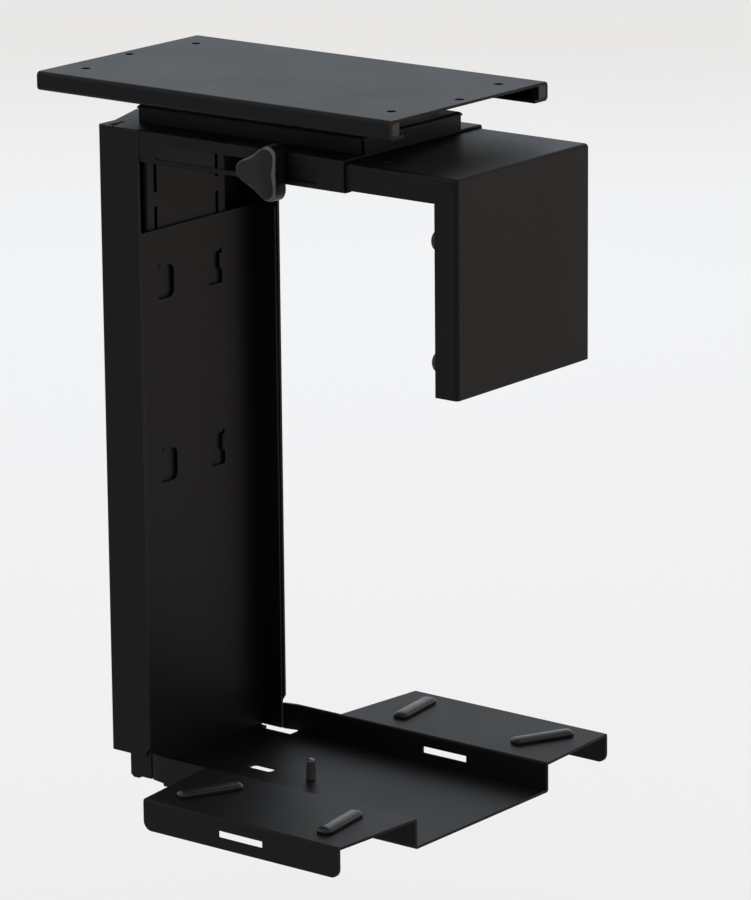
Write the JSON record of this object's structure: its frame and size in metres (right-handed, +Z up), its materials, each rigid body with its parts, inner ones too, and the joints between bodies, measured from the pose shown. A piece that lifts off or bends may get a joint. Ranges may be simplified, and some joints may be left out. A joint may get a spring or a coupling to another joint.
{
  "type": "under-desk computer holder",
  "caption": "Steel holder that hangs a desktop computer under a desk: sliding swivel rail, sleeve with a knob-locked clamp arm, slotted column and hook-on tray with rubber pads.",
  "frame": {"origin": "centre of the mounting plate's top face, where it meets the underside of the desk", "axes": "+Z up to the desk, +X along the mounting plate and the way the clamp arm reaches, +Y away from the knob's side"},
  "size_m": [0.3434, 0.3, 0.49],
  "materials": {
    "black_steel": "black satin powder coat with a fine texture",
    "zinc_steel": "bright zinc-plated steel",
    "brass": "plain pressed brass",
    "nylon": "natural nylon",
    "rubber": "matte black rubber",
    "knob_plastic": "black moulded plastic, fine grain"
  },
  "bodies": {
    "rail": {"mounting_plate": "black_steel", "rail_stops": "knob_plastic"},
    "carriage": {"carriage_plate": "zinc_steel", "glide_front": "nylon", "glide_back": "nylon", "upper_race": "zinc_steel", "upper_race_rivets": "zinc_steel", "pivot_bolt": "zinc_steel", "pivot_collar": "zinc_steel", "pivot_washer": "zinc_steel", "pivot_nut": "zinc_steel"},
    "ball_ring": {"ball_cage": "brass", "bearing_balls": "zinc_steel"},
    "hanger": {"lower_race": "zinc_steel", "lower_race_rivets": "zinc_steel", "friction_disc": "nylon", "turntable_pan": "black_steel", "pan_screws": "zinc_steel", "pan_spacers": "zinc_steel", "arm_sleeve": "black_steel", "column": "black_steel", "hook_rail": "black_steel", "column_rivets": "black_steel", "rail_rivets": "black_steel"},
    "arm": {"clamp_arm": "black_steel", "bumper_upper_front": "rubber", "bumper_upper_back": "rubber", "bumper_lower_front": "rubber", "bumper_lower_back": "rubber", "bumper_studs": "zinc_steel", "arm_nut": "zinc_steel"},
    "knob_assembly": {"knob": "knob_plastic", "knob_stud": "zinc_steel", "knob_washer": "zinc_steel"},
    "bracket": {"lower_bracket": "black_steel", "tray_stud": "black_steel", "pad_front_left": "rubber", "pad_back_left": "rubber", "pad_front_right": "rubber", "pad_back_right": "rubber"}
  },
  "joints": [
    {"name": "rail_slide", "type": "slide", "parent": "rail", "child": "carriage", "axis": [1, 0, 0], "range_m": [-0.0597, 0.0457]},
    {"name": "swivel", "type": "hinge", "parent": "carriage", "child": "hanger", "pos_m": [0.007, 0, -0.014], "axis": [0, 0, 1], "continuous": true},
    {"name": "ball_ring_turn", "type": "hinge", "parent": "carriage", "child": "ball_ring", "pos_m": [0.007, 0, -0.014], "axis": [0, 0, 1], "continuous": true},
    {"name": "arm_slide", "type": "slide", "parent": "hanger", "child": "arm", "axis": [1, 0, 0], "range_m": [-0.0715, 0.0318]},
    {"name": "knob_turn", "type": "hinge", "parent": "arm", "child": "knob_assembly", "pos_m": [0.0436, -0.08, -0.0459], "axis": [0, -1, 0], "continuous": true},
    {"name": "bracket_height", "type": "slide", "parent": "hanger", "child": "bracket", "axis": [0, 0, 1], "range_m": [-0.1288, 0.0644]}
  ],
  "couplings": [
    {"joint": "ball_ring_turn", "follows": "swivel", "ratio": 0.5}
  ]
}
